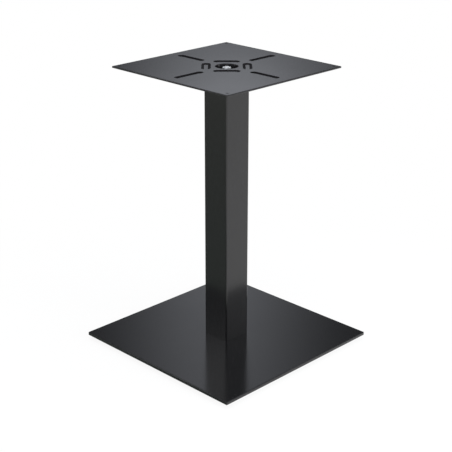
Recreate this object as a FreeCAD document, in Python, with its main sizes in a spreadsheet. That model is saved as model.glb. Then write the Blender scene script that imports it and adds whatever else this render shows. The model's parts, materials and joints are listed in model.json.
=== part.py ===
import FreeCAD, Part
import math
import os
import re
import Sketcher

os.makedirs("parts", exist_ok=True)
doc = FreeCAD.newDocument("TableLeg")
V = FreeCAD.Vector

# Sizes in millimetres and degrees, one row each: name, value, meaning
SIZES = [
    ("overall_height", "712", "floor to the top face"),
    ("floor_gap", "12", "floor to the underside of the base plate"),
    ("base_side", "500", "side of the base plate"),
    ("base_thickness", "8", "thickness of the base plate"),
    ("base_corner", "1.5", "corner radius of the base plate in plan"),
    ("base_edge", "0.5", "bevelled rims of the base plate"),
    ("top_side", "380", "side of the top plate"),
    ("top_thickness", "4", "thickness of the pressed sheet"),
    ("top_corner", "2", "corner radius of the top plate in plan"),
    ("top_edge", "0.4", "bevelled rims of the top plate"),
    ("column_side", "76", "outside of the square tube"),
    ("column_wall", "2", "wall of the tube"),
    ("column_corner", "3", "outside corner radius of the tube"),
    ("notch_play", "0.5", "clearance of the tube's notches round the pressed pockets"),
    ("arm_inner", "79", "inner end of a straight groove, from the middle"),
    ("arm_outer", "164", "outer end of a straight groove, from the middle"),
    ("arm_width", "17.5", "width of a groove at the top face"),
    ("arm_depth", "2.8", "depth of a groove"),
    ("arm_slope", "68", "groove wall against the vertical"),
    ("pocket_centre", "48.5", "middle of an oblong pocket, from the middle of the plate"),
    ("pocket_length", "63.5", "length of a pocket at the top face"),
    ("pocket_width", "22", "width of a pocket at the top face"),
    ("pocket_depth", "2.6", "depth of a pocket"),
    ("pocket_slope", "68", "pocket wall against the vertical"),
    ("well_width", "53", "round well at the top face"),
    ("well_depth", "15", "depth of the well"),
    ("well_slope", "10", "well wall against the vertical"),
    ("well_bevel", "1.5", "bevel of the well's rim"),
    ("screw_hole", "5.5", "screw holes for the table top"),
    ("screw_inset", "13", "screw hole centre from each edge"),
    ("rod_width", "12", "outside of the rod's thread"),
    ("rod_below_top", "1", "rod end below the top face"),
    ("rod_chamfer", "1", "chamfer at the rod's ends"),
    ("rod_play", "0.5", "clearance round the rod in a plain hole"),
    ("thread_play", "0.05", "clearance of a thread in its own hole"),
    ("nut_flats", "19", "nut across flats"),
    ("nut_height", "10", "height of the upper nut"),
    ("low_nut_height", "6", "height of the thin nut under the base plate"),
    ("rod_below_nut", "1", "rod end below the lower nut"),
    ("washer_width", "24", "outside of the washer"),
    ("washer_thickness", "2.5", "thickness of the washer"),
    ("block_play", "0.25", "clearance between block and tube on each side"),
    ("block_height", "14", "height of the block"),
    ("block_corner", "4", "corner radius of the block"),
    ("foot_inset", "45", "foot centre from each edge"),
    ("foot_thread", "8", "thread of a foot stud"),
    ("foot_hole_depth", "6.6", "blind threaded hole for a foot"),
    ("foot_engaged", "5.5", "length of thread in the plate as drawn"),
    ("collar_flats", "14", "stud collar across flats"),
    ("collar_height", "4", "height of the collar above the pad"),
    ("collar_sunk", "3", "part of the collar moulded into the pad"),
    ("collar_below", "1.2", "collar below the plate as drawn"),
    ("pad_width", "38", "width of a pad"),
    ("column_length", "=overall_height - top_thickness - base_thickness - floor_gap", "tube length"),
    ("base_top", "=floor_gap + base_thickness", "height of the base plate's upper face"),
    ("column_inside", "=column_side - 2 * column_wall", "inside of the tube"),
    ("arm_grow", "=top_thickness * tan(45 - arm_slope / 2)", "groove outline growth below the sheet"),
    ("pocket_grow", "=top_thickness * tan(45 - pocket_slope / 2)", "pocket outline growth below"),
    ("well_grow", "=top_thickness * tan(45 - well_slope / 2)", "well outline growth below"),
    ("low_washer_top", "=floor_gap - washer_thickness", "lower washer's underside above the floor"),
    ("well_floor", "=overall_height - well_depth", "height of the well's floor"),
    ("pad_height", "=floor_gap - collar_below - collar_height", "height of a pad"),
    ("foot_offset", "=base_side / 2 - foot_inset", "foot centre from each middle line"),
    ("screw_offset", "=top_side / 2 - screw_inset", "screw hole from each middle line"),
]
sheet = doc.addObject("Spreadsheet::Sheet", "Sheet")
for row, (name, value, meaning) in enumerate(SIZES, start=1):
    cell = "B%d" % row
    sheet.set("A%d" % row, name)
    sheet.set(cell, value)
    sheet.setAlias(cell, name)
    sheet.set("C%d" % row, meaning)
probe = doc.addObject("Spreadsheet::Sheet", "Probe")
doc.recompute()
NAMES = set(entry[0] for entry in SIZES)
TOUCHING = 0.01  # two heights this close are one


def rule(text):
    """Point the size names in a formula at the sheet."""
    return re.sub(r"[a-z_]+", lambda found: ("Sheet." if found.group(0) in NAMES else "") + found.group(0), text)


def number(text):
    """The value of a formula, for the first position of a sketch's point."""
    probe.set("A1", "=" + rule(text))
    probe.recompute()
    return float(probe.get("A1"))


def originPart(body, role):
    return [part for part in body.Origin.OriginFeatures if part.Role == role][0]


def newBody(name, x="0", y="0", z="0"):
    body = doc.addObject("PartDesign::Body", name)
    body.Label = name
    for axis, text in zip("xyz", (x, y, z)):
        body.setExpression("Placement.Base." + axis, rule(text))
    return body


def newSketch(body, name, height="0", role="XY_Plane", turn=0.0):
    sketch = body.newObject("Sketcher::SketchObject", name)
    sketch.AttachmentSupport = [(originPart(body, role), "")]
    sketch.MapMode = "FlatFace"
    sketch.AttachmentOffset = FreeCAD.Placement(V(0, 0, 0), FreeCAD.Rotation(V(0, 0, 1), turn))
    sketch.setExpression("AttachmentOffset.Base.z", rule(height))
    return sketch


def hold(sketch, name, text, *parts):
    """A named dimension that follows the sheet."""
    index = sketch.addConstraint(Sketcher.Constraint(*parts, number(text)))
    sketch.renameConstraint(index, name)
    sketch.setExpression("Constraints." + name, rule(text))


def closedLoop(sketch, points):
    first = sketch.GeometryCount
    count = len(points)
    for i in range(count):
        sketch.addGeometry(Part.LineSegment(points[i], points[(i + 1) % count]))
    for i in range(count):
        sketch.addConstraint(Sketcher.Constraint("Coincident", first + i, 2, first + (i + 1) % count, 1))
    return first


def square(sketch, side):
    """A square about the sketch's origin."""
    half = number(side) / 2
    corners = [V(-half, -half, 0), V(half, -half, 0), V(half, half, 0), V(-half, half, 0)]
    first = closedLoop(sketch, corners)
    for line in (0, 2):
        sketch.addConstraint(Sketcher.Constraint("Horizontal", first + line))
    for line in (1, 3):
        sketch.addConstraint(Sketcher.Constraint("Vertical", first + line))
    sketch.addConstraint(Sketcher.Constraint("Equal", first, first + 1))
    sketch.addConstraint(Sketcher.Constraint("Symmetric", first, 1, first + 2, 1, -1, 1))
    hold(sketch, "side", side, "DistanceX", first, 1, first, 2)


def circle(sketch, width):
    """A circle about the sketch's origin."""
    index = sketch.addGeometry(Part.Circle(V(0, 0, 0), V(0, 0, 1), number(width) / 2))
    sketch.addConstraint(Sketcher.Constraint("Coincident", index, 3, -1, 1))
    hold(sketch, "width", width, "Diameter", index)


def fourCircles(sketch, width, offset):
    """Equal circles, one in each quadrant, at the same distance from both middle lines."""
    reach = number(offset)
    for tag, (right, up) in zip("abcd", ((1, 1), (-1, 1), (-1, -1), (1, -1))):
        place = V(right * reach, up * reach, 0)
        index = sketch.addGeometry(Part.Circle(place, V(0, 0, 1), number(width) / 2))
        hold(sketch, "width_" + tag, width, "Diameter", index)
        hold(sketch, "across_" + tag, "%d * (%s)" % (right, offset), "DistanceX", -1, 1, index, 3)
        hold(sketch, "along_" + tag, "%d * (%s)" % (up, offset), "DistanceY", -1, 1, index, 3)


def hexagon(sketch, flats):
    """A hexagon about the sketch's origin, with two corners on the X axis."""
    reach = number(flats) / math.sqrt(3)
    turns = [math.radians(60 * i) for i in range(6)]
    first = closedLoop(sketch, [V(reach * math.cos(turn), reach * math.sin(turn), 0) for turn in turns])
    ring = sketch.addGeometry(Part.Circle(V(0, 0, 0), V(0, 0, 1), reach), True)
    sketch.addConstraint(Sketcher.Constraint("Coincident", ring, 3, -1, 1))
    hold(sketch, "corners", "(%s) * 2 / sqrt(3)" % flats, "Diameter", ring)
    for i in range(6):
        sketch.addConstraint(Sketcher.Constraint("PointOnObject", first + i, 1, ring))
    for i in range(1, 5):
        sketch.addConstraint(Sketcher.Constraint("Equal", first, first + i))
    sketch.addConstraint(Sketcher.Constraint("PointOnObject", first, 1, -1))


def arc(x, y, radius, start, end):
    return Part.ArcOfCircle(Part.Circle(V(x, y, 0), V(0, 0, 1), radius), math.radians(start), math.radians(end))


def slotAlong(sketch, near, far, width):
    """A round-ended slot on the sketch's X axis, from one distance to another."""
    half = number(width) / 2
    a = number(near) + half
    b = number(far) - half
    sketch.addGeometry(Part.LineSegment(V(a, half, 0), V(b, half, 0)))
    sketch.addGeometry(arc(b, 0, half, -90, 90))
    sketch.addGeometry(Part.LineSegment(V(b, -half, 0), V(a, -half, 0)))
    sketch.addGeometry(arc(a, 0, half, 90, 270))
    for pair in ((0, 2, 1, 2), (1, 1, 2, 1), (2, 2, 3, 2), (3, 1, 0, 1)):
        sketch.addConstraint(Sketcher.Constraint("Tangent", *pair))
    for end in (1, 3):
        sketch.addConstraint(Sketcher.Constraint("PointOnObject", end, 3, -1))
    hold(sketch, "bend", "(%s) / 2" % width, "Radius", 1)
    hold(sketch, "near", "%s + (%s) / 2" % (near, width), "DistanceX", -1, 1, 3, 3)
    hold(sketch, "far", "%s - (%s) / 2" % (far, width), "DistanceX", -1, 1, 1, 3)


def slotAcross(sketch, middle, length, width):
    """A round-ended slot square to the sketch's X axis, at a distance from the origin."""
    half = number(width) / 2
    centre = number(middle)
    reach = number(length) / 2 - half
    sketch.addGeometry(Part.LineSegment(V(centre + half, -reach, 0), V(centre + half, reach, 0)))
    sketch.addGeometry(arc(centre, reach, half, 0, 180))
    sketch.addGeometry(Part.LineSegment(V(centre - half, reach, 0), V(centre - half, -reach, 0)))
    sketch.addGeometry(arc(centre, -reach, half, 180, 360))
    for pair in ((0, 2, 1, 1), (1, 2, 2, 1), (2, 2, 3, 1), (3, 2, 0, 1)):
        sketch.addConstraint(Sketcher.Constraint("Tangent", *pair))
    sketch.addConstraint(Sketcher.Constraint("Symmetric", 1, 3, 3, 3, -1))
    hold(sketch, "bend", "(%s) / 2" % width, "Radius", 1)
    hold(sketch, "middle", middle, "DistanceX", -1, 1, 1, 3)
    hold(sketch, "reach", "%s - (%s)" % (length, width), "DistanceY", 3, 3, 1, 3)


def raised(body, name, sketch, length, down=False, slope=None):
    """A pad on the sketch; a sloped one grows narrower away from it."""
    pad = body.newObject("PartDesign::Pad", name)
    pad.Profile = sketch
    pad.setExpression("Length", rule(length))
    pad.Reversed = down
    if slope:
        pad.setExpression("TaperAngle", rule("0 - " + slope))
    doc.recompute()
    return pad


def sunk(body, name, sketch, depth=None, up=False, slope=None):
    """A pocket from the sketch, right through where no depth is given."""
    pocket = body.newObject("PartDesign::Pocket", name)
    pocket.Profile = sketch
    if depth:
        pocket.setExpression("Length", rule(depth))
    else:
        pocket.Type = "ThroughAll"
    pocket.Reversed = up
    if slope:
        pocket.setExpression("TaperAngle", rule("0 - " + slope))
    doc.recompute()
    return pocket


def fourTimes(body, feature):
    """Repeat a feature at each quarter turn about the body's Z axis."""
    pattern = body.newObject("PartDesign::PolarPattern", feature.Name + "_x")
    pattern.Originals = [feature]
    pattern.Axis = (originPart(body, "Z_Axis"), [""])
    pattern.Angle = 360
    pattern.Occurrences = 4
    body.Tip = pattern
    doc.recompute()
    return pattern


def rimmed(body, name, radius, wanted, kind="PartDesign::Fillet"):
    """Round or bevel the edges of the body's tip that pass a test on their box."""
    tip = body.Tip
    edges = ["Edge%d" % i for i, edge in enumerate(tip.Shape.Edges, start=1) if wanted(edge.BoundBox)]
    form = body.newObject(kind, name)
    form.Base = (tip, edges)
    form.setExpression("Size" if kind.endswith("Chamfer") else "Radius", rule(radius))
    doc.recompute()
    return form


def near(a, b):
    return abs(a - b) < TOUCHING


def upright(box):
    return near(box.XLength, 0) and near(box.YLength, 0)


def level(box, height, reach=float("inf")):
    """True for an edge lying at a height, no side of it beyond a reach from the middle."""
    far = max(abs(box.XMin), abs(box.XMax), abs(box.YMin), abs(box.YMax))
    return near(box.ZMin, height) and near(box.ZMax, height) and far < reach + TOUCHING


def makeBasePlate():
    body = newBody("base_plate", z="floor_gap")
    thick = number("base_thickness")
    sketch = newSketch(body, "base_outline")
    square(sketch, "base_side")
    raised(body, "base_slab", sketch, "base_thickness")
    rimmed(body, "base_corners", "base_corner", upright)
    rimmed(body, "base_rims", "base_edge", lambda box: level(box, 0) or level(box, thick), "PartDesign::Chamfer")
    sketch = newSketch(body, "foot_holes_outline")
    fourCircles(sketch, "foot_thread + 2 * thread_play", "foot_offset")
    sunk(body, "foot_holes", sketch, "foot_hole_depth", up=True)
    sketch = newSketch(body, "base_rod_way_outline")
    circle(sketch, "rod_width + 2 * rod_play")
    sunk(body, "base_rod_way", sketch, up=True)
    return body


def makeFootBlock():
    body = newBody("foot_block", z="base_top")
    sketch = newSketch(body, "block_outline")
    square(sketch, "column_inside - 2 * block_play")
    raised(body, "block_slab", sketch, "block_height")
    rimmed(body, "block_corners", "block_corner", upright)
    sketch = newSketch(body, "block_rod_hole_outline")
    circle(sketch, "rod_width + 2 * rod_play")
    sunk(body, "block_rod_hole", sketch, up=True)
    return body


def makeColumn():
    body = newBody("column", z="base_top")
    sketch = newSketch(body, "tube_outline")
    square(sketch, "column_side")
    raised(body, "tube_solid", sketch, "column_length")
    rimmed(body, "tube_corners", "column_corner", upright)
    sketch = newSketch(body, "tube_bore_outline")
    square(sketch, "column_inside")
    sunk(body, "tube_bore", sketch, up=True)
    inside = number("column_inside") / 2
    rimmed(body, "tube_bore_corners", "column_corner - column_wall",
           lambda box: upright(box) and near(abs(box.XMin), inside) and near(abs(box.YMin), inside))
    sketch = newSketch(body, "notch_outline", "column_length", turn=45.0)
    slotAcross(sketch, "pocket_centre", "pocket_length + 2 * (pocket_grow + notch_play)",
               "pocket_width + 2 * (pocket_grow + notch_play)")
    fourTimes(body, sunk(body, "notch", sketch, "pocket_depth + notch_play", slope="pocket_slope"))
    return body


def makeTopPlate():
    """The pressed sheet: bosses are raised below it, then the same forms are sunk from above."""
    body = newBody("top_plate", z="overall_height")
    under = "0 - top_thickness"
    sketch = newSketch(body, "sheet_outline")
    square(sketch, "top_side")
    raised(body, "sheet_slab", sketch, "top_thickness", down=True)
    rimmed(body, "sheet_corners", "top_corner", upright)
    low = number(under)
    rimmed(body, "sheet_rims", "top_edge", lambda box: level(box, 0) or level(box, low), "PartDesign::Chamfer")
    sketch = newSketch(body, "arm_boss_outline", under)
    slotAlong(sketch, "arm_inner - arm_grow", "arm_outer + arm_grow", "arm_width + 2 * arm_grow")
    fourTimes(body, raised(body, "arm_boss", sketch, "arm_depth", down=True, slope="arm_slope"))
    sketch = newSketch(body, "pocket_boss_outline", under, turn=45.0)
    slotAcross(sketch, "pocket_centre", "pocket_length + 2 * pocket_grow", "pocket_width + 2 * pocket_grow")
    fourTimes(body, raised(body, "pocket_boss", sketch, "pocket_depth", down=True, slope="pocket_slope"))
    sketch = newSketch(body, "well_boss_outline", under)
    circle(sketch, "well_width + 2 * well_grow")
    raised(body, "well_boss", sketch, "well_depth", down=True, slope="well_slope")
    sketch = newSketch(body, "arm_outline")
    slotAlong(sketch, "arm_inner", "arm_outer", "arm_width")
    fourTimes(body, sunk(body, "arm", sketch, "arm_depth", slope="arm_slope"))
    sketch = newSketch(body, "pocket_outline", turn=45.0)
    slotAcross(sketch, "pocket_centre", "pocket_length", "pocket_width")
    fourTimes(body, sunk(body, "pocket", sketch, "pocket_depth", slope="pocket_slope"))
    sketch = newSketch(body, "well_outline")
    circle(sketch, "well_width")
    sunk(body, "well", sketch, "well_depth", slope="well_slope")
    rim = number("well_width") / 2
    rimmed(body, "well_rim", "well_bevel", lambda box: level(box, 0, rim), "PartDesign::Chamfer")
    sketch = newSketch(body, "rod_way_outline", "0 - well_depth")
    circle(sketch, "rod_width + 2 * rod_play")
    sunk(body, "rod_way", sketch)
    sketch = newSketch(body, "screw_holes_outline")
    fourCircles(sketch, "screw_hole", "screw_offset")
    sunk(body, "screw_holes", sketch)
    return body


def makeTieRod():
    body = newBody("tie_rod", z="floor_gap - washer_thickness - low_nut_height - rod_below_nut")
    length = "overall_height - rod_below_top - floor_gap + washer_thickness + low_nut_height + rod_below_nut"
    top = number(length)
    sketch = newSketch(body, "rod_outline")
    circle(sketch, "rod_width")
    raised(body, "rod_bar", sketch, length)
    rimmed(body, "rod_ends", "rod_chamfer", lambda box: level(box, 0) or level(box, top), "PartDesign::Chamfer")
    return body


def makeWasher(name, z):
    body = newBody(name, z=z)
    sketch = newSketch(body, name + "_outline")
    circle(sketch, "washer_width")
    raised(body, name + "_disc", sketch, "washer_thickness")
    sketch = newSketch(body, name + "_hole_outline")
    circle(sketch, "rod_width + 2 * rod_play")
    sunk(body, name + "_hole", sketch, up=True)
    return body


def makeNut(name, height, z):
    body = newBody(name, z=z)
    sketch = newSketch(body, name + "_outline")
    hexagon(sketch, "nut_flats")
    raised(body, name + "_prism", sketch, height)
    sketch = newSketch(body, name + "_hole_outline")
    circle(sketch, "rod_width + 2 * thread_play")
    sunk(body, name + "_hole", sketch, up=True)
    return body


def makeFoot(place, right, up):
    """A levelling foot: the plastic pad is moulded round the lower part of the stud's collar."""
    x = "%d * foot_offset" % right
    y = "%d * foot_offset" % up
    name = "foot_stud_%d" % place
    stud = newBody(name, x, y, "pad_height - collar_sunk")
    sketch = newSketch(stud, name + "_collar_outline")
    hexagon(sketch, "collar_flats")
    raised(stud, name + "_collar", sketch, "collar_height + collar_sunk")
    sketch = newSketch(stud, name + "_thread_outline", "collar_height + collar_sunk")
    circle(sketch, "foot_thread")
    raised(stud, name + "_thread", sketch, "collar_below + foot_engaged")
    name = "foot_pad_%d" % place
    pad = newBody(name, x, y)
    sketch = newSketch(pad, name + "_outline")
    circle(sketch, "pad_width")
    raised(pad, name + "_disc", sketch, "pad_height")
    sketch = newSketch(pad, name + "_socket_outline", "pad_height")
    hexagon(sketch, "collar_flats")
    sunk(pad, name + "_socket", sketch, "collar_sunk")
    return [stud, pad]


bodies = [
    makeBasePlate(),
    makeFootBlock(),
    makeColumn(),
    makeTopPlate(),
    makeTieRod(),
    makeWasher("top_washer", "well_floor"),
    makeNut("top_nut", "nut_height", "well_floor + washer_thickness"),
    makeWasher("low_washer", "low_washer_top"),
    makeNut("low_nut", "low_nut_height", "low_washer_top - low_nut_height"),
]
for place, (right, up) in enumerate(((1, 1), (-1, 1), (-1, -1), (1, -1)), start=1):
    bodies.extend(makeFoot(place, right, up))

doc.removeObject("Probe")
doc.recompute()
for item in doc.Objects:
    if "Invalid" in item.State or "Error" in item.State:
        raise SystemExit("not built: %s %s" % (item.Label, item.State))
for body in bodies:
    shape = body.Shape
    if shape.isNull() or not shape.isValid() or len(shape.Solids) != 1:
        raise SystemExit("bad shape: " + body.Label)
    shape.exportStep("parts/%s.step" % body.Label)
    box = shape.BoundBox
    print("%-16s %9.1f mm3  z %.1f to %.1f  faces %d"
          % (body.Label, shape.Volume, box.ZMin, box.ZMax, len(shape.Faces)))
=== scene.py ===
import bmesh
import bpy
import json
import math
from mathutils import Matrix, Vector
from mathutils.geometry import tessellate_polygon


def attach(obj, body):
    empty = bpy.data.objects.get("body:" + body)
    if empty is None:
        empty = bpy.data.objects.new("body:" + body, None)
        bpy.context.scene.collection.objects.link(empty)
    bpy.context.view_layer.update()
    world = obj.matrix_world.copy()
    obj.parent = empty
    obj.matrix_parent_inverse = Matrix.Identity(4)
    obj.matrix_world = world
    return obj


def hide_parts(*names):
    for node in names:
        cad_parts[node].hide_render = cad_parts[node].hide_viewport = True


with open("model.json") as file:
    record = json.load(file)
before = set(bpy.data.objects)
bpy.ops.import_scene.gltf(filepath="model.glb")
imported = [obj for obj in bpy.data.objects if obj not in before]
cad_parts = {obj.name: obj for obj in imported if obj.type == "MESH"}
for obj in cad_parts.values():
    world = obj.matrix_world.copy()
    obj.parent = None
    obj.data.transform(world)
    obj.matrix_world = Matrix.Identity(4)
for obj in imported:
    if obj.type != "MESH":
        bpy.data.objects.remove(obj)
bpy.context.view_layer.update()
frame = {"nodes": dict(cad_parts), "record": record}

cadNodes = frame["nodes"]


# camera

cameraView = {
    "place": (1.8066, -1.8215, 1.3146),
    "aim": (0.0, -0.0016, 0.3115),
    "lens": 88.97,
    "roll": 0.09,  # degrees
}
cameraData = bpy.data.cameras.new("viewCamera")
cameraData.lens = cameraView["lens"]
cameraData.clip_end = 60
viewCamera = bpy.data.objects.new("viewCamera", cameraData)
bpy.context.scene.collection.objects.link(viewCamera)
sight = Vector(cameraView["aim"]) - Vector(cameraView["place"])
turn = sight.to_track_quat("-Z", "Y").to_matrix() @ Matrix.Rotation(math.radians(cameraView["roll"]), 3, "Z")
viewCamera.rotation_mode = "QUATERNION"
viewCamera.rotation_quaternion = turn.to_quaternion()
viewCamera.location = cameraView["place"]
bpy.context.scene.camera = viewCamera
bpy.context.scene.view_settings.view_transform = "Standard"
print("camera set")


# shader helpers

def addNode(tree, kind, values=None, **settings):
    node = tree.nodes.new(kind)
    for name, value in settings.items():
        setattr(node, name, value)
    for socket, value in (values or {}).items():
        if isinstance(value, bpy.types.NodeSocket):
            tree.links.new(value, node.inputs[socket])
        else:
            node.inputs[socket].default_value = value
    return node


def calc(tree, operation, a, b=0.0, c=0.0, clamp=False):
    return addNode(tree, "ShaderNodeMath", {0: a, 1: b, 2: c}, operation=operation, use_clamp=clamp).outputs[0]


def vector(tree, operation, a, b=(0, 0, 0)):
    node = addNode(tree, "ShaderNodeVectorMath", {0: a, 1: b}, operation=operation)
    return node.outputs["Value" if operation in ("DOT_PRODUCT", "LENGTH") else 0]


def ramp(tree, value, low, high, start=0.0, end=1.0, kind="SMOOTHSTEP"):  # from start to end between low and high
    limits = {"Value": value, "From Min": low, "From Max": high, "To Min": start, "To Max": end}
    return addNode(tree, "ShaderNodeMapRange", limits, interpolation_type=kind).outputs[0]


def noise(tree, place, scale, detail, roughness=0.5):
    values = {"Vector": place, "Scale": scale, "Detail": detail, "Roughness": roughness}
    return addNode(tree, "ShaderNodeTexNoise", values).outputs["Fac"]


def paint(r, g, b):  # screen colour, 0 to 255, to a scene colour
    return tuple(((v / 255 + 0.055) / 1.055) ** 2.4 if v > 10 else v / 255 / 12.92 for v in (r, g, b)) + (1.0,)


def emptyMaterial(name):
    material = bpy.data.materials.new(name)
    material.use_nodes = True
    material.node_tree.nodes.clear()
    return material, material.node_tree


# one grain for every finish: small bumps, slow tone drift and uneven gloss

def makeGrainGroup():
    group = bpy.data.node_groups.new("finishGrain", "ShaderNodeTree")
    sockets = [("Colour", "NodeSocketColor", (0.02, 0.02, 0.02, 1)), ("Drift", "NodeSocketFloat", 0.1),
               ("Bump Size", "NodeSocketFloat", 400.0), ("Gloss", "NodeSocketFloat", 0.35),
               ("Gloss Spread", "NodeSocketFloat", 0.05), ("Stretch", "NodeSocketVector", (1, 1, 1))]
    for name, kind, value in sockets:
        socket = group.interface.new_socket(name, in_out="INPUT", socket_type=kind)
        socket.default_value = value
    for name, kind in ("Colour", "NodeSocketColor"), ("Roughness", "NodeSocketFloat"), ("Height", "NodeSocketFloat"):
        group.interface.new_socket(name, in_out="OUTPUT", socket_type=kind)
    inside = addNode(group, "NodeGroupInput").outputs
    place = addNode(group, "ShaderNodeTexCoord").outputs["Object"]
    place = addNode(group, "ShaderNodeMapping", {"Vector": place, "Scale": inside["Stretch"]}).outputs[0]
    peel = noise(group, place, inside["Bump Size"], 2.0, 0.55)
    fine = noise(group, place, calc(group, "MULTIPLY", inside["Bump Size"], 5.0), 1.0)
    slow = noise(group, place, 7.0, 4.0, 0.6)
    drift = calc(group, "MULTIPLY", calc(group, "SUBTRACT", slow, 0.5), inside["Drift"])
    speck = calc(group, "MULTIPLY", calc(group, "SUBTRACT", fine, 0.5), inside["Drift"])
    tone = calc(group, "ADD", calc(group, "ADD", drift, speck), 1.0)
    colour = vector(group, "MULTIPLY", inside["Colour"], tone)
    spread = calc(group, "MULTIPLY", calc(group, "SUBTRACT", slow, 0.5), inside["Gloss Spread"])
    spread = calc(group, "MULTIPLY_ADD", calc(group, "SUBTRACT", peel, 0.5), inside["Gloss Spread"], spread)
    gloss = calc(group, "ADD", inside["Gloss"], spread, clamp=True)
    height = calc(group, "MULTIPLY_ADD", fine, 0.25, peel)
    addNode(group, "NodeGroupOutput", {"Colour": colour, "Roughness": gloss, "Height": height})
    return group


grainGroup = makeGrainGroup()


def finish(name, colour, gloss, drift, spread, bumpSize, bump, metallic=0.0, stretch=(1, 1, 1), ior=1.5):
    material, tree = emptyMaterial(name)
    shader = addNode(tree, "ShaderNodeBsdfPrincipled")
    addNode(tree, "ShaderNodeOutputMaterial", {"Surface": shader.outputs[0]})
    grain = addNode(tree, "ShaderNodeGroup", node_tree=grainGroup)
    for socket, value in (("Colour", colour), ("Drift", drift), ("Bump Size", bumpSize), ("Gloss", gloss),
                          ("Gloss Spread", spread), ("Stretch", stretch)):
        grain.inputs[socket].default_value = value
    tree.links.new(grain.outputs["Colour"], shader.inputs["Base Color"])
    tree.links.new(grain.outputs["Roughness"], shader.inputs["Roughness"])
    relief = addNode(tree, "ShaderNodeBump", {"Height": grain.outputs["Height"], "Distance": bump, "Strength": 1.0})
    tree.links.new(relief.outputs[0], shader.inputs["Normal"])
    shader.inputs["Metallic"].default_value = metallic
    shader.inputs["IOR"].default_value = ior
    return material


blackCoat = finish("blackCoat", paint(19, 19, 20), 0.16, drift=0.25, spread=0.06, bumpSize=350, bump=0.00002,
                   ior=1.55)
zincPlate = finish("zincPlate", paint(214, 216, 218), 0.3, drift=0.1, spread=0.12, bumpSize=900, bump=0.00001,
                   metallic=0.5)
blockSteel = finish("blockSteel", paint(150, 150, 152), 0.45, drift=0.2, spread=0.15, bumpSize=300, bump=0.00003,
                    metallic=1.0, stretch=(1, 8, 1))
padPlastic = finish("padPlastic", paint(34, 34, 35), 0.55, drift=0.15, spread=0.1, bumpSize=1500, bump=0.00003)
slotFinish = {"black_coat": blackCoat, "zinc": zincPlate, "block_steel": blockSteel, "pad_plastic": padPlastic}
for entry in frame["record"]["subparts"]:
    node = cadNodes[entry["node"]]
    for slot in node.material_slots:
        slot.material = slotFinish[entry["material_slot"]]
print("finishes made:", len(slotFinish))


# mesh helpers, in millimetres

flatRing = 0.3  # width of the flat ring beside a bend
holeSoft = 0.3  # rounding of the drilled holes' rims
corners = ((1, 1), (-1, 1), (-1, -1), (1, -1))


class Shell:
    def __init__(self):
        self.points, self.faces, self.flats = [], [], []

    def ring(self, points):
        first = len(self.points)
        self.points += [tuple(point) for point in points]
        return list(range(first, len(self.points)))

    def band(self, a, b):
        self.faces += [(a[i - 1], a[i], b[i], b[i - 1]) for i in range(len(a))]

    def fill(self, *rings):  # a flat face inside the first ring, with the others as holes
        flat = sum(rings, [])
        loops = [[Vector(self.points[i]) for i in ring] for ring in rings]
        faces = [tuple(flat[i] for i in face) for face in tessellate_polygon(loops)]
        self.flats += range(len(self.faces), len(self.faces) + len(faces))
        self.faces += faces

    def sweep(self, path, profile):  # rings along a profile of (outward offset, height)
        rings = [self.ring([(p.x + n.x * out, p.y + n.y * out, z) for p, n in path]) for out, z in profile]
        for a, b in zip(rings, rings[1:]):
            self.band(a, b)
        return rings[0], rings[-1]

    def add(self, mesh):  # take in a ready mesh, in metres
        first = len(self.points)
        self.points += [tuple(vertex.co * 1000) for vertex in mesh.vertices]
        self.faces += [tuple(first + i for i in face.vertices) for face in mesh.polygons]

    def build(self, name, sharp=35):
        mesh = bpy.data.meshes.new(name)
        mesh.from_pydata([(x / 1000, y / 1000, z / 1000) for x, y, z in self.points], [], self.faces)
        work = bmesh.new()
        work.from_mesh(mesh)
        bmesh.ops.recalc_face_normals(work, faces=work.faces)
        work.to_mesh(mesh)
        work.free()
        mesh.shade_smooth()
        mesh.set_sharp_from_angle(angle=math.radians(sharp))
        for i in self.flats:
            mesh.polygons[i].use_smooth = False
        return mesh


def roundedPath(centres, radius, steps):  # points and outward directions round equal arcs about the centres
    path = []
    for i, middle in enumerate(centres):
        start, turn, count = 0, math.tau, steps
        if len(centres) > 1:
            before, after = middle - centres[i - 1], centres[(i + 1) % len(centres)] - middle
            start = math.atan2(before.y, before.x) - math.pi / 2
            turn, count = (math.atan2(after.y, after.x) - math.pi / 2 - start) % math.tau, steps + 1
        for step in range(count):
            angle = start + turn * step / steps
            out = Vector((math.cos(angle), math.sin(angle), 0))
            path.append((middle + out * radius, out))
    return path


def squarePath(side, corner, steps=8):
    reach = side / 2 - corner
    centres = [Vector((x * reach, y * reach, 0)) for x, y in ((-1, -1), (1, -1), (1, 1), (-1, 1))]
    return roundedPath(centres, corner, steps)


def circlePath(width, x=0, y=0, steps=48):
    return roundedPath([Vector((x, y, 0))], width / 2, steps)


def slotPath(near, far, width, turn):  # a slot between two end centres on a ray from the middle, or square to it
    ends = [Vector((*near, 0)), Vector((*far, 0))]
    spin = Matrix.Rotation(math.radians(turn), 3, "Z")
    return roundedPath([spin @ end for end in ends], width / 2, 16)


def bend(x, z, radius, start, end, steps=6):  # an arc of a profile, angles in degrees
    angles = [math.radians(start + (end - start) * i / steps) for i in range(steps + 1)]
    return [(x + radius * math.cos(angle), z + radius * math.sin(angle)) for angle in angles]


def holeProfile(top, low):  # a straight hole with softened rims and a flat ring at each end
    soft = holeSoft
    return ([(soft * 2, top)] + bend(soft, top - soft, soft, 90, 180, 3) + bend(soft, low + soft, soft, 180, 270, 3)
            + [(soft * 2, low)])


def edgeProfile(top, low, soft, under):  # the outer edge of a plate, rounded more above than below
    above = [(-soft - flatRing, top)] + bend(-soft, top - soft, soft, 90, 0, 6)
    return above + bend(-under, low + under, under, 0, -90, 4) + [(-under - flatRing, low)]


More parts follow.
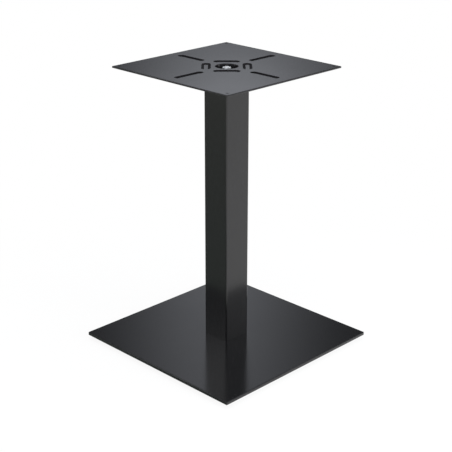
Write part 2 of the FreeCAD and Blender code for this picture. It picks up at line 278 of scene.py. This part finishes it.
def turned(shell, rings, steps=72):  # rings of (radius, height), each a number or a rule of the angle
    made = []
    for radius, height in rings:
        points = []
        for i in range(steps):
            angle = math.tau * i / steps
            r = radius(angle) if callable(radius) else radius
            z = height(r) if callable(height) else height
            points.append((r * math.cos(angle), r * math.sin(angle), z))
        made.append(shell.ring(points))
    for a, b in zip(made, made[1:]):
        shell.band(a, b)
    return made[0], made[-1]


def hexReach(flats):  # a hexagon's radius as a rule of the angle
    return lambda angle: flats / 2 / math.cos(angle % (math.pi / 3) - math.pi / 6)


def moved(mesh, x, y):  # a copy of the mesh, its place written into its points
    copy = mesh.copy()
    copy.transform(Matrix.Translation((x / 1000, y / 1000, 0)))
    return copy


nodeSlot = {entry["node"]: entry["material_slot"] for entry in frame["record"]["subparts"]}


def present(name, mesh, body, node):
    piece = bpy.data.objects.new(name, mesh)
    bpy.context.scene.collection.objects.link(piece)
    mesh.materials.clear()
    mesh.materials.append(slotFinish[nodeSlot[node]])
    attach(piece, body)
    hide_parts(node)


# top plate: sheet pressed down into four straight grooves, four oblong pockets and a round well

plate = {
    "top": 712, "side": 380, "thickness": 4, "corner": 2, "soft": 1.4, "under": 0.5,
    "rimRadius": 2, "rimUnder": 0.5, "floorRadius": 2,  # bends of the sheet, and of its lower face at the rims
    "arm": {"inner": 79, "outer": 164, "width": 17.5, "depth": 2.8, "slope": 22},
    "pocket": {"centre": 48.5, "length": 63.5, "width": 22, "depth": 2.6, "slope": 22},
    "well": {"width": 53, "depth": 15, "slope": 80},
    "screwHole": 5.5, "screwInset": 13, "rodHole": 13,
}


def pressProfile(depth, slope, lower):
    thick = plate["thickness"] if lower else 0
    half = math.tan(math.radians(slope / 2))
    rim, foot = plate["rimUnder" if lower else "rimRadius"], plate["floorRadius"]
    start = (rim + thick) * half
    end = -depth / math.tan(math.radians(slope)) - foot * half
    first = bend(start, -rim - thick, rim, 90, 90 + slope)
    last = bend(end, foot - depth, foot + thick, slope - 90, -90)
    profile = [(start + flatRing, -thick)] + first + last + [(end - flatRing, -depth - thick)]
    return [(out, plate["top"] + z) for out, z in profile]


def makeTopPlate():
    shell = Shell()
    top, thick = plate["top"], plate["thickness"]
    arm, pocket, well = plate["arm"], plate["pocket"], plate["well"]
    forms = []
    for turn in range(0, 360, 90):
        half = arm["width"] / 2
        ends = (arm["inner"] + half, 0), (arm["outer"] - half, 0)
        forms.append((slotPath(*ends, arm["width"], turn), arm))
        reach = (pocket["length"] - pocket["width"]) / 2
        ends = (pocket["centre"], -reach), (pocket["centre"], reach)
        forms.append((slotPath(*ends, pocket["width"], turn + 45), pocket))
    forms.append((circlePath(well["width"], steps=72), well))
    edge = edgeProfile(top, top - thick, plate["soft"], plate["under"])
    upper, lower = shell.sweep(squarePath(plate["side"], plate["corner"]), edge)
    skins = [[upper], [lower]]
    for path, form in forms:
        for low in (0, 1):
            first, last = shell.sweep(path, pressProfile(form["depth"], form["slope"], low))
            skins[low].append(first)
            if form is well:
                skins.append([last])
            else:
                shell.fill(last)
    place = plate["side"] / 2 - plate["screwInset"]
    for x, y in corners:
        hole = circlePath(plate["screwHole"], x * place, y * place, 24)
        ends = shell.sweep(hole, holeProfile(top, top - thick))
        for skin, end in zip(skins, ends):
            skin.append(end)
    floor = top - well["depth"]
    ends = shell.sweep(circlePath(plate["rodHole"]), holeProfile(floor, floor - thick))
    for skin, end in zip(skins[2:], ends):
        skin.append(end)
    for skin in skins:
        shell.fill(*skin)
    present("topPlate", shell.build("topPlate"), "leg", "top_plate")


makeTopPlate()
print("top plate pressed")


# base plate

base = {
    "low": 12, "side": 500, "thickness": 8, "corner": 2.5, "soft": 2, "under": 0.6, "rodHole": 13,
    "footHole": 8.1, "footDepth": 6.6, "footInset": 45, "footSoft": 0.4,
}


def makeBasePlate():
    shell = Shell()
    top, low = base["low"] + base["thickness"], base["low"]
    edge = edgeProfile(top, low, base["soft"], base["under"])
    upper, lower = shell.sweep(squarePath(base["side"], base["corner"]), edge)
    rod = shell.sweep(circlePath(base["rodHole"]), holeProfile(top, low))
    shell.fill(upper, rod[0])
    under = [lower, rod[1]]
    place, soft, deep = base["side"] / 2 - base["footInset"], base["footSoft"], low + base["footDepth"]
    for x, y in corners:
        hole = circlePath(base["footHole"], x * place, y * place, 32)
        first, last = shell.sweep(hole, [(soft * 2, low), (soft, low), (0, low + soft), (0, deep)])
        under.append(first)
        shell.fill(last)
    shell.fill(*under)
    present("basePlate", shell.build("basePlate"), "leg", "base_plate")


makeBasePlate()
print("base plate cut")


# threads: one node tree turns a plain bar into a screw

screw = {"around": 48, "rowsPerTurn": 8.0}  # points round the bar, and rows of them in each turn of the thread


def makeThreadTree():
    tree = bpy.data.node_groups.new("screwThread", "GeometryNodeTree")
    sockets = {}
    sizes = {"Radius": 0.006, "Length": 0.04, "Pitch": 0.00175, "Depth": 0.001, "Chamfer": 0.001, "Start": 0.0}
    for name, value in sizes.items():
        socket = tree.interface.new_socket(name, in_out="INPUT", socket_type="NodeSocketFloat")
        socket.default_value = value
        sockets[name] = socket.identifier
    socket = tree.interface.new_socket("Finish", in_out="INPUT", socket_type="NodeSocketMaterial")
    sockets["Finish"] = socket.identifier
    tree.interface.new_socket("Geometry", in_out="OUTPUT", socket_type="NodeSocketGeometry")
    given = addNode(tree, "NodeGroupInput").outputs
    rows = calc(tree, "MULTIPLY", calc(tree, "DIVIDE", given["Length"], given["Pitch"]), screw["rowsPerTurn"])
    bar = addNode(tree, "GeometryNodeMeshCylinder", {
        "Vertices": screw["around"], "Side Segments": rows, "Radius": given["Radius"], "Depth": given["Length"],
    }).outputs["Mesh"]
    place = addNode(tree, "GeometryNodeInputPosition").outputs[0]
    x, y, z = addNode(tree, "ShaderNodeSeparateXYZ", {0: place}).outputs
    turns = calc(tree, "DIVIDE", calc(tree, "ARCTAN2", y, x), math.tau)
    phase = calc(tree, "FRACT", calc(tree, "SUBTRACT", calc(tree, "DIVIDE", z, given["Pitch"]), turns))
    slant = calc(tree, "ABSOLUTE", calc(tree, "MULTIPLY_ADD", phase, 2.0, -1.0))
    groove = calc(tree, "MULTIPLY_ADD", slant, 1.25, -0.125, clamp=True)  # flat crest and root
    reach = calc(tree, "SUBTRACT", given["Radius"], calc(tree, "MULTIPLY", groove, given["Depth"]))
    toEnd = calc(tree, "MULTIPLY_ADD", given["Length"], 0.5, calc(tree, "MULTIPLY", calc(tree, "ABSOLUTE", z), -1.0))
    limit = calc(tree, "ADD", calc(tree, "SUBTRACT", given["Radius"], given["Chamfer"]), toEnd)
    ratio = calc(tree, "DIVIDE", calc(tree, "MINIMUM", reach, limit), given["Radius"])
    height = calc(tree, "ADD", calc(tree, "MULTIPLY_ADD", given["Length"], 0.5, given["Start"]), z)
    shaped = addNode(tree, "ShaderNodeCombineXYZ", {
        0: calc(tree, "MULTIPLY", x, ratio), 1: calc(tree, "MULTIPLY", y, ratio), 2: height,
    })
    cut = addNode(tree, "GeometryNodeSetPosition", {"Geometry": bar, "Position": shaped.outputs[0]}).outputs[0]
    plain = addNode(tree, "GeometryNodeRealizeInstances", {"Geometry": cut}).outputs[0]
    coated = addNode(tree, "GeometryNodeSetMaterial", {"Geometry": plain, "Material": given["Finish"]}).outputs[0]
    addNode(tree, "NodeGroupOutput", {"Geometry": coated})
    return tree, sockets


threadTree, threadSockets = makeThreadTree()


def threadMesh(material, **values):  # the values in millimetres
    holder = bpy.data.objects.new("threadHolder", bpy.data.meshes.new("threadHolder"))
    bpy.context.scene.collection.objects.link(holder)
    modifier = holder.modifiers.new("thread", "NODES")
    modifier.node_group = threadTree
    for name, value in values.items():
        modifier[threadSockets[name.capitalize()]] = value / 1000
    modifier[threadSockets["Finish"]] = material
    ready = holder.evaluated_get(bpy.context.evaluated_depsgraph_get())
    mesh = bpy.data.meshes.new_from_object(ready)
    holder.modifiers.remove(modifier)
    bpy.data.objects.remove(holder)
    return mesh


# rod, nuts and washers

rod = {
    "low": 2.5, "high": 711, "width": 12, "shank": 10.9, "upperThread": 38, "lowerThread": 34,
    "pitch": 1.75, "depth": 1.05, "chamfer": 1, "overlap": 1,  # the shank reaches into each thread
}
nut = {"flats": 19, "hole": 12.1, "chamfer": 0.97, "soft": 0.8}  # chamfer circle as a share of the flats
washer = {"width": 24, "hole": 13, "thickness": 2.5, "soft": 0.5, "edge": 0.2}


def makeRod():
    shell = Shell()
    low, high = rod["low"] + rod["lowerThread"] - rod["overlap"], rod["high"] - rod["upperThread"] + rod["overlap"]
    first, last = turned(shell, [(rod["shank"] / 2, low), (rod["shank"] / 2, high)], 48)
    shell.fill(first)
    shell.fill(last)
    for start, length in (rod["low"], rod["lowerThread"]), (rod["high"] - rod["upperThread"], rod["upperThread"]):
        shell.add(threadMesh(zincPlate, radius=rod["width"] / 2, length=length, pitch=rod["pitch"],
                             depth=rod["depth"], chamfer=rod["chamfer"], start=start))
    present("tieRod", shell.build("tieRod"), "leg", "tie_rod")


def hexagonBar(shell, flats, low, high, hole=0.0, lowChamfer=True):  # chamfered at its top, and below if asked
    rim = flats / 2 * nut["chamfer"]
    fall = math.tan(math.radians(30))
    rings = [(rim, high), (hexReach(flats), lambda r: high - (r - rim) * fall)]
    rings.append((hexReach(flats), (lambda r: low + (r - rim) * fall) if lowChamfer else low))
    rings += [(rim, low)] if lowChamfer else []
    if not hole:
        first, last = turned(shell, rings)
        shell.fill(first)
        shell.fill(last)
        return
    soft, inner = nut["soft"], hole / 2
    rings = [(inner, high - soft), (inner + soft, high)] + rings + [(inner + soft, low), (inner, low + soft)]
    first, last = turned(shell, rings)
    shell.band(last, first)


def makeNut(name, node, low, height):
    shell = Shell()
    hexagonBar(shell, nut["flats"], low, low + height, nut["hole"])
    present(name, shell.build(name, 25), "leg", node)


def makeWasher(name, node, low):
    shell = Shell()
    high, soft = low + washer["thickness"], washer["soft"]
    outer, inner, edge = washer["width"] / 2, washer["hole"] / 2, washer["edge"]
    rings = [(inner, high - edge), (inner + edge, high), (outer - soft - flatRing, high)]
    rings += bend(outer - soft, high - soft, soft, 90, 0, 4)
    rings += [(outer, low + edge / 2), (outer - edge / 2, low), (inner + edge, low), (inner, low + edge)]
    first, last = turned(shell, rings)
    shell.band(last, first)
    present(name, shell.build(name), "leg", node)


makeRod()
makeWasher("topWasher", "top_washer", low=697)
makeNut("topNut", "top_nut", low=699.5, height=10)
makeWasher("lowWasher", "low_washer", low=9.5)
makeNut("lowNut", "low_nut", low=3.5, height=6)
print("rod, nuts and washers made")


# levelling feet: a plastic pad moulded round the collar of a threaded stud

foot = {
    "place": 205, "collarFlats": 14, "collarLow": 3.8, "collarHigh": 10.8,
    "thread": 8, "threadHigh": 17.5, "pitch": 1.25, "depth": 0.72, "chamfer": 0.7, "overlap": 0.5,
}
pad = {
    "width": 38, "height": 6.8,
    "lip": (0.3, 0.1),  # the slope round the collar, wide and deep
    "boss": 10.8, "bossFlat": 10.6, "bossSoft": 1.2,  # the raised middle
    "dish": ((12.6, 2.1), (3.0, 2.6)),  # the fall round it: its start from the middle, its end from the rim
    "rimSoft": 2.2, "rimDrop": 4.8, "wall": 1.4, "soleSoft": 0.9,
    "recess": 0.6, "recessOuter": (3.2, 3.8), "recessInner": 8.0,  # hollow in the sole
}


def makePadMesh():
    shell = Shell()
    wide, high, soft, sole, recess = pad["width"] / 2, pad["height"], pad["bossSoft"], pad["soleSoft"], pad["recess"]
    (lipWide, lipDeep), (dishStart, dishEnd), recessOuter = pad["lip"], pad["dish"], pad["recessOuter"]
    socket = hexReach(foot["collarFlats"])
    rings = [(socket, foot["collarLow"]), (socket, high - lipDeep), (lambda angle: socket(angle) + lipWide, high)]
    rings += [(pad["bossFlat"], high)] + bend(pad["boss"], high - soft, soft, 90, 20, 4)
    rings += [(dishStart[0], high - dishStart[1]), (wide - dishEnd[0], high - dishEnd[1])]
    rings += bend(wide - pad["rimSoft"], high - pad["rimDrop"], pad["rimSoft"], 90, 0, 6)
    rings += [(wide, pad["wall"])] + bend(wide - sole, sole, sole, 0, -90, 4)
    rings += [(wide - recessOuter[0], 0), (wide - recessOuter[1], recess), (pad["recessInner"], recess)]
    first, last = turned(shell, rings)
    shell.fill(first)
    shell.fill(last)
    return shell.build("footPad")


def makeStudMesh():
    shell = Shell()
    hexagonBar(shell, foot["collarFlats"], foot["collarLow"], foot["collarHigh"], lowChamfer=False)
    start = foot["collarHigh"] - foot["overlap"]
    shell.add(threadMesh(zincPlate, radius=foot["thread"] / 2, length=foot["threadHigh"] - start, pitch=foot["pitch"],
                         depth=foot["depth"], chamfer=foot["chamfer"], start=start))
    return shell.build("footStud", 25)


padMesh, studMesh = makePadMesh(), makeStudMesh()
for number, (x, y) in enumerate(corners, start=1):
    x, y, body = x * foot["place"], y * foot["place"], "foot_%d" % number
    present("footPad%d" % number, moved(padMesh, x, y), body, "foot_pad_%d" % number)
    present("footStud%d" % number, moved(studMesh, x, y), body, "foot_stud_%d" % number)
print("feet made")


# studio: pale floor, soft lamps

studio = {
    "surround": 0.035,  # brightness of the room
    "fill": {  # dim light from all round and above, which leaves out what the camera sees mirrored
        "level": 0.07, "rise": 0.75,  # at the horizon, and added straight above
        "inner": 0.95, "outer": 0.75,  # cosines of the angles from behind the object where it starts and is full
        "top": (0.92, 0.98),  # sines of the heights where it closes over the gap
    },
    "glowColour": (0.94, 0.97, 1.05),
    "glows": [  # level, sideways spread and shift, sines of the heights where it comes in and goes out
        (0.97, 0.068, 0.015, (0.165, 0.285), (0.27, 0.36)),
        (0.73, 0.052, -0.006, (0.27, 0.36), (0.5, 0.75)),
    ],
    "floor": {
        "reach": 20.0, "tone": 0.895, "mottle": 0.01,
        "shade": 0.08, "shadeNear": 0.45, "shadeFar": 1.1,  # how strongly it takes shadows, and where that fades out
    },
    "lamps": [  # name, place, aim, width, height, radiance, seen in reflections
        ("overhead", (0.2, -0.1, 2.6), (0, 0, 0.3), 2.6, 2.6, 2.6, False),
        ("rightFill", (2.4, 0.2, 0.75), (0, 0, 0.2), 1.6, 1.3, 9.0, False),
        ("leftBox", (-1.9, -1.9, 1.72), (0, 0, 0.3), 0.8, 0.6, 3.0, True),
        ("rightBox", (2.6, 2.6, 1.42), (0, 0, 0.3), 0.9, 0.9, 1.4, True),
    ],
    "paintedReflection": {  # painted reflection: a glowing grey sheet on the floor left of the object, seen only in reflections, where it stands in for a darker floor
        "near": 0.345, "far": 3.4, "width": 1.6, "lift": 0.002,
        "nearTone": (142, 150, 144), "farTone": (170, 172, 166),
    },
}


def makeSheet(name, points, material):
    mesh = bpy.data.meshes.new(name)
    mesh.from_pydata(points, [], [(0, 1, 2, 3)])
    mesh.materials.append(material)
    sheet = bpy.data.objects.new(name, mesh)
    bpy.context.scene.collection.objects.link(sheet)
    return sheet


def makeFloor():  # white where the object's shadow doesn't fall
    ground = studio["floor"]
    material, tree = emptyMaterial("paleFloor")
    path = addNode(tree, "ShaderNodeLightPath").outputs
    seen = calc(tree, "MAXIMUM", path["Is Camera Ray"], path["Is Glossy Ray"])
    seen = calc(tree, "MAXIMUM", seen, path["Is Transmission Ray"])
    place = addNode(tree, "ShaderNodeTexCoord").outputs["Object"]
    tone = calc(tree, "MULTIPLY_ADD", noise(tree, place, 3.0, 3.0), ground["mottle"], ground["tone"])
    matt = addNode(tree, "ShaderNodeBsdfDiffuse", {"Color": tone})
    glow = addNode(tree, "ShaderNodeEmission", {"Color": (1, 1, 1, 1), "Strength": 1.0})
    away = vector(tree, "LENGTH", place)
    around = ramp(tree, away, ground["shadeNear"], ground["shadeFar"], 1 - ground["shade"])
    around = calc(tree, "MAXIMUM", around, path["Is Glossy Ray"])
    shade = calc(tree, "MULTIPLY", seen, around)
    mixed = addNode(tree, "ShaderNodeMixShader", {0: shade, 1: matt.outputs[0], 2: glow.outputs[0]})
    addNode(tree, "ShaderNodeOutputMaterial", {"Surface": mixed.outputs[0]})
    reach = ground["reach"]
    makeSheet("floor", [(x * reach, y * reach, 0) for x, y in corners], material)


def makeRoom():  # white to the camera, and dim with soft glows to all that mirrors it
    world = bpy.data.worlds.new("room")
    bpy.context.scene.world = world
    world.use_nodes = True
    tree, room, fill = world.node_tree, studio["surround"], studio["fill"]
    tree.nodes.clear()
    way = addNode(tree, "ShaderNodeTexCoord").outputs["Generated"]
    x, y, z = addNode(tree, "ShaderNodeSeparateXYZ", {0: way}).outputs
    aside = calc(tree, "SUBTRACT", calc(tree, "ABSOLUTE", x), calc(tree, "ABSOLUTE", y))  # nought towards each corner
    for level, spread, shift, comes, goes in studio["glows"]:
        off = calc(tree, "DIVIDE", calc(tree, "ADD", aside, shift), spread * math.sqrt(2))
        soft = calc(tree, "EXPONENT", calc(tree, "MULTIPLY", calc(tree, "MULTIPLY", off, off), -0.5))
        soft = calc(tree, "MULTIPLY", soft, ramp(tree, z, *comes))
        soft = calc(tree, "MULTIPLY", soft, ramp(tree, z, *goes, 1.0, 0.0))
        room = calc(tree, "MULTIPLY_ADD", soft, level, room)
    toward = vector(tree, "NORMALIZE", vector(tree, "MULTIPLY", way, (1, 1, 0)))
    behind = vector(tree, "DOT_PRODUCT", toward, (-math.sqrt(0.5), math.sqrt(0.5), 0))
    clear = ramp(tree, behind, fill["outer"], fill["inner"], 1.0, 0.0)
    clear = calc(tree, "MAXIMUM", clear, ramp(tree, z, *fill["top"]))
    height = calc(tree, "MULTIPLY_ADD", calc(tree, "MULTIPLY", z, z), fill["rise"], fill["level"])
    room = calc(tree, "MULTIPLY_ADD", clear, height, room)
    tint = vector(tree, "MULTIPLY", studio["glowColour"], room)
    air = addNode(tree, "ShaderNodeBackground", {"Color": tint, "Strength": 1.0})
    white = addNode(tree, "ShaderNodeBackground", {"Color": (1, 1, 1, 1), "Strength": 1.0})
    path = addNode(tree, "ShaderNodeLightPath").outputs
    seen = calc(tree, "MAXIMUM", path["Is Camera Ray"], path["Is Transmission Ray"])
    mixed = addNode(tree, "ShaderNodeMixShader", {0: seen, 1: air.outputs[0], 2: white.outputs[0]})
    addNode(tree, "ShaderNodeOutputWorld", {"Surface": mixed.outputs[0]})


def makeLamps():
    for name, place, aim, width, height, radiance, mirrored in studio["lamps"]:
        data = bpy.data.lights.new(name, "AREA")
        data.shape = "RECTANGLE"
        data.size, data.size_y = width, height
        data.energy = math.pi * width * height * radiance
        lamp = bpy.data.objects.new(name, data)
        lamp.location = place
        lamp.rotation_mode = "QUATERNION"
        lamp.rotation_quaternion = (Vector(aim) - Vector(place)).to_track_quat("-Z", "Y")
        lamp.visible_glossy = mirrored
        bpy.context.scene.collection.objects.link(lamp)


def makePaintedReflection():  # painted reflection: a glowing grey sheet on the floor, which only reflections see and which darkens what the left faces mirror
    paintedReflection = studio["paintedReflection"]
    along, across = Vector((-1, -1, 0)).normalized(), Vector((1, -1, 0)).normalized() * paintedReflection["width"] / 2
    low, high = Vector((0, 0, paintedReflection["lift"])), along * paintedReflection["far"] + Vector((0, 0, paintedReflection["lift"]))
    material, tree = emptyMaterial("paintedReflectionGrey")
    reach = vector(tree, "DOT_PRODUCT", addNode(tree, "ShaderNodeTexCoord").outputs["Object"], tuple(along))
    share = ramp(tree, reach, paintedReflection["near"], paintedReflection["far"], kind="LINEAR")
    tones = {0: share, 6: paint(*paintedReflection["nearTone"]), 7: paint(*paintedReflection["farTone"])}
    tone = addNode(tree, "ShaderNodeMix", tones, data_type="RGBA").outputs[2]
    # the sheet glows with these tones: a painted reflection, not a lit surface
    glow = addNode(tree, "ShaderNodeEmission", {"Color": tone, "Strength": 1.0})
    addNode(tree, "ShaderNodeOutputMaterial", {"Surface": glow.outputs[0]})
    panel = makeSheet("paintedReflection", [low - across, high - across, high + across, low + across], material)
    panel.visible_camera = panel.visible_diffuse = panel.visible_shadow = False


makeFloor()
makeRoom()
makeLamps()
makePaintedReflection()
print("studio lit")
